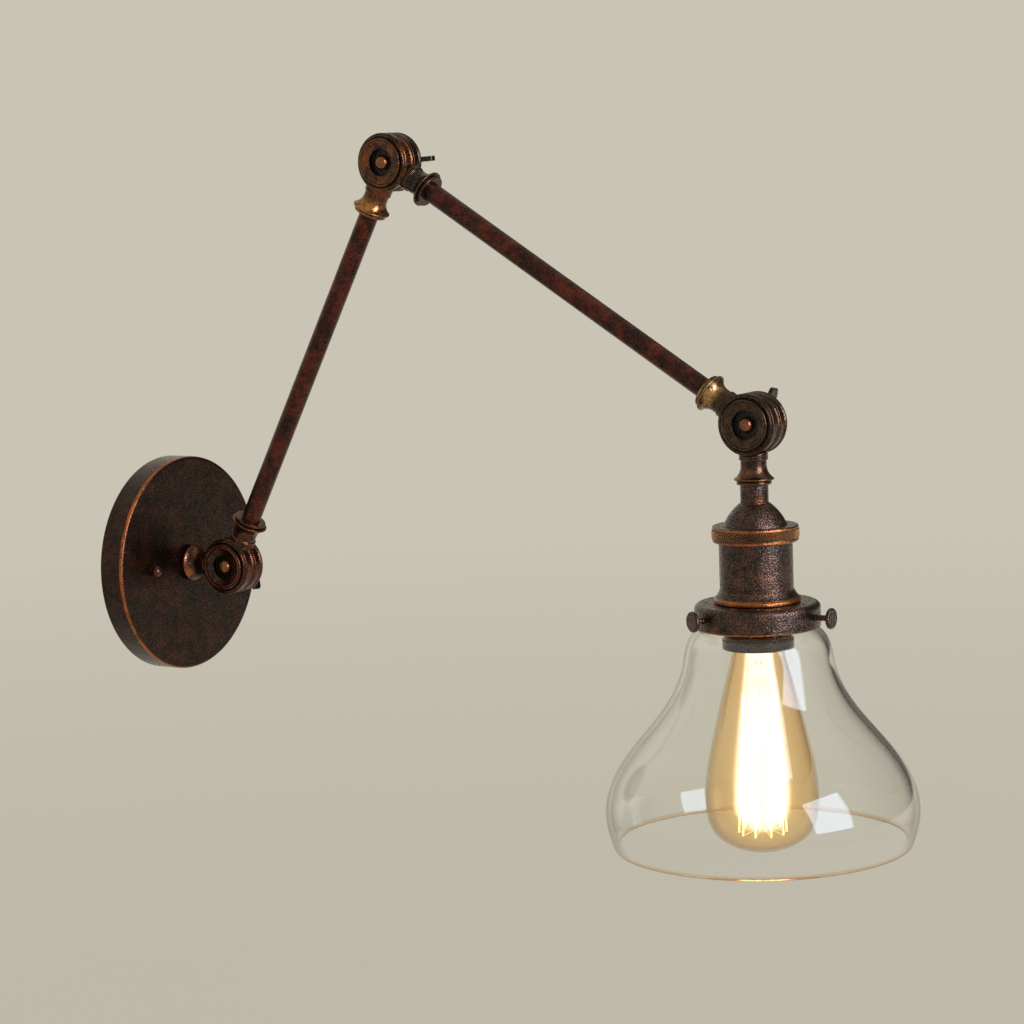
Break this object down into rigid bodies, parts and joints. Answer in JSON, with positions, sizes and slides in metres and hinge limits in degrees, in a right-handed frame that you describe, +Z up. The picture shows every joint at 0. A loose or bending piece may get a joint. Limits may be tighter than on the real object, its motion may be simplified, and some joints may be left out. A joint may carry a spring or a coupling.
{
  "type": "hanging pendant wall sconce",
  "caption": "Swing-arm wall sconce: round canopy, two arms on turned knuckles locked by wing nuts, and a hanging lampholder with a clear glass bell and a filament bulb.",
  "frame": {"origin": "centre of the canopy's wall face", "axes": "+Y into the wall, -Y into the room, +Z up, +X right for someone facing the wall"},
  "size_m": [0.1572, 0.4528, 0.3655],
  "materials": {
    "bronze": "oil-rubbed dark bronze, satin, copper showing on the edges",
    "bronze_paint": "dark bronze baked finish, satin, finely speckled",
    "steel": "zinc plated, satin",
    "yellow_brass": "bare brass, lightly dulled",
    "fibre": "black fibre",
    "phenolic": "black moulded phenolic",
    "clear_glass": "clear blown glass, polished",
    "amber_glass": "amber tinted clear glass, polished",
    "nickel": "nickel plated, bright",
    "stem_glass": "clear glass",
    "filament_wire": "carbon filament, glowing warm white",
    "solder": "tin solder, dull"
  },
  "bodies": {
    "wall_mount": {"crossbar": "steel", "earth_screw": "yellow_brass", "canopy_studs": "steel", "stud_nuts": "steel", "canopy": "bronze_paint", "canopy_cap_nuts": "bronze", "base_pipe": "steel", "base_lock_washer": "steel", "base_pipe_nut": "steel", "base_knuckle_wall_half": "bronze", "base_friction_ring": "fibre", "base_nut_washer": "steel"},
    "lower_arm": {"lower_arm_tube": "bronze_paint", "base_knuckle_arm_half": "bronze", "elbow_knuckle_lower_half": "bronze", "base_pivot_bolt": "bronze", "elbow_pivot_bolt": "bronze"},
    "upper_arm": {"upper_arm_tube": "bronze_paint", "elbow_knuckle_upper_half": "bronze", "head_knuckle_arm_half": "bronze", "head_pivot_bolt": "bronze", "elbow_friction_ring": "fibre", "elbow_nut_washer": "steel"},
    "lamp_head": {"head_knuckle_lamp_half": "bronze", "head_friction_ring": "fibre", "head_nut_washer": "steel", "head_pipe": "steel", "head_pipe_nut": "steel", "holder_cap": "bronze", "set_screw": "bronze", "knurled_ring": "bronze", "holder_body": "bronze", "threaded_sleeve": "bronze", "gallery": "bronze", "shade_ring": "bronze", "end_ring": "bronze", "socket_insert": "phenolic", "terminal_screws": "yellow_brass", "screw_shell": "yellow_brass", "centre_contact": "yellow_brass", "glass_shade": "clear_glass"},
    "base_wing_nut": {"base_wing_nut": "bronze"},
    "elbow_wing_nut": {"elbow_wing_nut": "bronze"},
    "head_wing_nut": {"head_wing_nut": "bronze"},
    "thumb_screw_room": {"thumb_screw_room": "bronze"},
    "thumb_screw_left": {"thumb_screw_left": "bronze"},
    "thumb_screw_right": {"thumb_screw_right": "bronze"},
    "bulb": {"bulb_base": "nickel", "bulb_insulator": "phenolic", "bulb_contact": "solder", "bulb_glass": "amber_glass", "bulb_stem": "stem_glass", "filament_supports": "nickel", "filament": "filament_wire"}
  },
  "joints": [
    {"name": "base_tilt", "type": "hinge", "parent": "wall_mount", "child": "lower_arm", "pos_m": [0, -0.045, 0], "axis": [1, 0, 0], "range_deg": [-28.2, 151.8]},
    {"name": "elbow_tilt", "type": "hinge", "parent": "lower_arm", "child": "upper_arm", "pos_m": [0, -0.16314, 0.22033], "axis": [-1, 0, 0], "range_deg": [-25.8, 214.2]},
    {"name": "head_tilt", "type": "hinge", "parent": "upper_arm", "child": "lamp_head", "pos_m": [0, -0.37422, 0.08637], "axis": [1, 0, 0], "range_deg": [-177.6, 62.4]},
    {"name": "base_wing_nut_turn", "type": "hinge", "parent": "lower_arm", "child": "base_wing_nut", "pos_m": [0, -0.045, 0], "axis": [1, 0, 0], "range_deg": [0, 360]},
    {"name": "elbow_wing_nut_turn", "type": "hinge", "parent": "lower_arm", "child": "elbow_wing_nut", "pos_m": [0, -0.16314, 0.22033], "axis": [1, 0, 0], "range_deg": [0, 360]},
    {"name": "head_wing_nut_turn", "type": "hinge", "parent": "upper_arm", "child": "head_wing_nut", "pos_m": [0, -0.37422, 0.08637], "axis": [1, 0, 0], "range_deg": [0, 360]},
    {"name": "thumb_screw_room_slide", "type": "slide", "parent": "lamp_head", "child": "thumb_screw_room", "axis": [0, -1, 0], "range_m": [-0.003, 0.001]},
    {"name": "thumb_screw_left_slide", "type": "slide", "parent": "lamp_head", "child": "thumb_screw_left", "axis": [-0.866, 0.5, 0], "range_m": [0, 0.004]},
    {"name": "thumb_screw_right_slide", "type": "slide", "parent": "lamp_head", "child": "thumb_screw_right", "axis": [0.866, 0.5, 0], "range_m": [0, 0.004]},
    {"name": "bulb_slide", "type": "slide", "parent": "lamp_head", "child": "bulb", "axis": [0, 0, -1], "range_m": [0, 0.025]}
  ]
}
